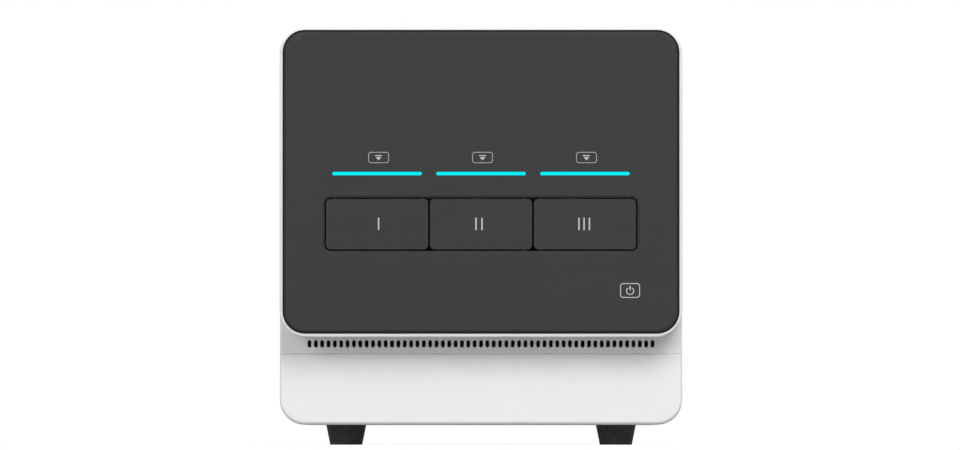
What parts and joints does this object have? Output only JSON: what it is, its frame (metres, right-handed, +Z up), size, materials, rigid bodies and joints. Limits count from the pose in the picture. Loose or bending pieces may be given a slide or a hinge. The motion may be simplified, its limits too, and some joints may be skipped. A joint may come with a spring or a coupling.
{
  "type": "real-time pcr system",
  "caption": "Bench real-time PCR instrument: white housing, dark overhanging front panel, and motor-driven sample drawers with heated lids and scanning optics.",
  "frame": {"origin": "on the bench under the middle of the instrument, level with the soles of its feet", "axes": "+Z up, the front panel faces -Y, +X to the right of someone facing the panel"},
  "size_m": [0.4, 0.5, 0.4134],
  "materials": {
    "white_moulding": "fine matt white moulding",
    "white_cover": "satin white powder coat",
    "dark_panel": "satin dark grey panel",
    "dark_front": "satin dark grey drawer front",
    "light_guide": "lit cyan light guide",
    "circuit_board": "green solder mask",
    "back_plate": "light grey powder coat",
    "foot_rubber": "matt black rubber",
    "screw_steel": "zinc plated",
    "plated_steel": "zinc plated sheet",
    "ground_steel": "ground and hardened",
    "motor_body": "black motor casing",
    "actuator_body": "black actuator casing",
    "machined_aluminium": "clear anodised",
    "optics_black": "black anodised",
    "supply_case": "perforated steel case",
    "inlet_black": "black thermoplastic",
    "rocker_black": "black rocker",
    "port_shell": "plated socket shell",
    "fan_black": "black thermoplastic",
    "guard_wire": "bright plated wire",
    "tray_grey": "grey moulding",
    "block_aluminium": "bead blasted and anodised",
    "cell_ceramic": "white ceramic",
    "sink_aluminium": "extruded",
    "rack_plastic": "natural acetal",
    "pinion_brass": "hobbed brass",
    "printed_ink": "light grey screen print"
  },
  "bodies": {
    "housing": {"front_frame": "white_moulding", "front_panel": "dark_panel", "light_bars": "light_guide", "touch_board": "circuit_board", "top_cover": "white_cover", "base_shell": "white_moulding", "rear_panel": "back_plate", "rubber_feet": "foot_rubber", "case_screws": "screw_steel", "chassis_plate": "plated_steel", "side_frame_left": "plated_steel", "side_frame_right": "plated_steel", "module_deck": "plated_steel", "drawer_rails": "ground_steel", "stepper_motors": "motor_body", "lid_bridge": "plated_steel", "guide_pins": "ground_steel", "lid_actuators": "actuator_body", "scan_beam": "machined_aluminium", "power_supply": "supply_case", "main_board": "circuit_board", "power_inlet": "inlet_black", "data_ports": "port_shell", "fan_frames": "fan_black", "fan_guards": "guard_wire"},
    "drawer_1": {"drawer_front_1": "dark_front", "drawer_tray_1": "tray_grey", "tray_cover_1": "tray_grey", "sample_block_1": "block_aluminium", "thermal_cells_1": "cell_ceramic", "heat_sink_1": "sink_aluminium", "drawer_rack_1": "rack_plastic"},
    "drawer_2": {"drawer_front_2": "dark_front", "drawer_tray_2": "tray_grey", "tray_cover_2": "tray_grey", "sample_block_2": "block_aluminium", "thermal_cells_2": "cell_ceramic", "heat_sink_2": "sink_aluminium", "drawer_rack_2": "rack_plastic"},
    "drawer_3": {"drawer_front_3": "dark_front", "drawer_tray_3": "tray_grey", "tray_cover_3": "tray_grey", "sample_block_3": "block_aluminium", "thermal_cells_3": "cell_ceramic", "heat_sink_3": "sink_aluminium", "drawer_rack_3": "rack_plastic"},
    "pinion_1": {"drive_pinion_1": "pinion_brass"},
    "pinion_2": {"drive_pinion_2": "pinion_brass"},
    "pinion_3": {"drive_pinion_3": "pinion_brass"},
    "lid_1": {"heated_lid_1": "machined_aluminium", "lid_carrier_1": "machined_aluminium"},
    "lid_2": {"heated_lid_2": "machined_aluminium", "lid_carrier_2": "machined_aluminium"},
    "lid_3": {"heated_lid_3": "machined_aluminium", "lid_carrier_3": "machined_aluminium"},
    "optics_head": {"scan_head": "optics_black"},
    "optics_screw": {"scan_screw": "ground_steel"},
    "switch_rocker": {"power_rocker": "rocker_black"},
    "fan_left": {"fan_rotor_left": "fan_black"},
    "fan_right": {"fan_rotor_right": "fan_black"}
  },
  "joints": [
    {"name": "drawer_slide_1", "type": "slide", "parent": "housing", "child": "drawer_1", "axis": [0, -1, 0], "range_m": [0, 0.125]},
    {"name": "drawer_slide_2", "type": "slide", "parent": "housing", "child": "drawer_2", "axis": [0, -1, 0], "range_m": [0, 0.125]},
    {"name": "drawer_slide_3", "type": "slide", "parent": "housing", "child": "drawer_3", "axis": [0, -1, 0], "range_m": [0, 0.125]},
    {"name": "pinion_spin_1", "type": "hinge", "parent": "housing", "child": "pinion_1", "pos_m": [-0.0782, -0.107, 0.1828], "axis": [0, 0, -1], "range_deg": [0, 795.9]},
    {"name": "pinion_spin_2", "type": "hinge", "parent": "housing", "child": "pinion_2", "pos_m": [0.025, -0.107, 0.1828], "axis": [0, 0, -1], "range_deg": [0, 795.9]},
    {"name": "pinion_spin_3", "type": "hinge", "parent": "housing", "child": "pinion_3", "pos_m": [0.1282, -0.107, 0.1828], "axis": [0, 0, -1], "range_deg": [0, 795.9]},
    {"name": "lid_press_1", "type": "slide", "parent": "housing", "child": "lid_1", "axis": [0, 0, -1], "range_m": [0, 0.0075]},
    {"name": "lid_press_2", "type": "slide", "parent": "housing", "child": "lid_2", "axis": [0, 0, -1], "range_m": [0, 0.0075]},
    {"name": "lid_press_3", "type": "slide", "parent": "housing", "child": "lid_3", "axis": [0, 0, -1], "range_m": [0, 0.0075]},
    {"name": "scan_slide", "type": "slide", "parent": "housing", "child": "optics_head", "axis": [1, 0, 0], "range_m": [0, 0.286]},
    {"name": "screw_spin", "type": "hinge", "parent": "housing", "child": "optics_screw", "pos_m": [0, -0.158, 0.3455], "axis": [1, 0, 0], "range_deg": [0, 10297]},
    {"name": "rocker_tilt", "type": "hinge", "parent": "housing", "child": "switch_rocker", "pos_m": [-0.1035, 0.244, 0.0629], "axis": [-1, 0, 0], "range_deg": [0, 16]},
    {"name": "fan_spin_left", "type": "hinge", "parent": "housing", "child": "fan_left", "pos_m": [-0.072, 0.218, 0.2154], "axis": [0, 1, 0], "continuous": true},
    {"name": "fan_spin_right", "type": "hinge", "parent": "housing", "child": "fan_right", "pos_m": [0.072, 0.218, 0.2154], "axis": [0, 1, 0], "continuous": true}
  ],
  "couplings": [
    {"joint": "pinion_spin_1", "follows": "drawer_slide_1", "rad_per_m": 111.11},
    {"joint": "pinion_spin_2", "follows": "drawer_slide_2", "rad_per_m": 111.11},
    {"joint": "pinion_spin_3", "follows": "drawer_slide_3", "rad_per_m": 111.11},
    {"joint": "screw_spin", "follows": "scan_slide", "rad_per_m": 628.32}
  ]
}
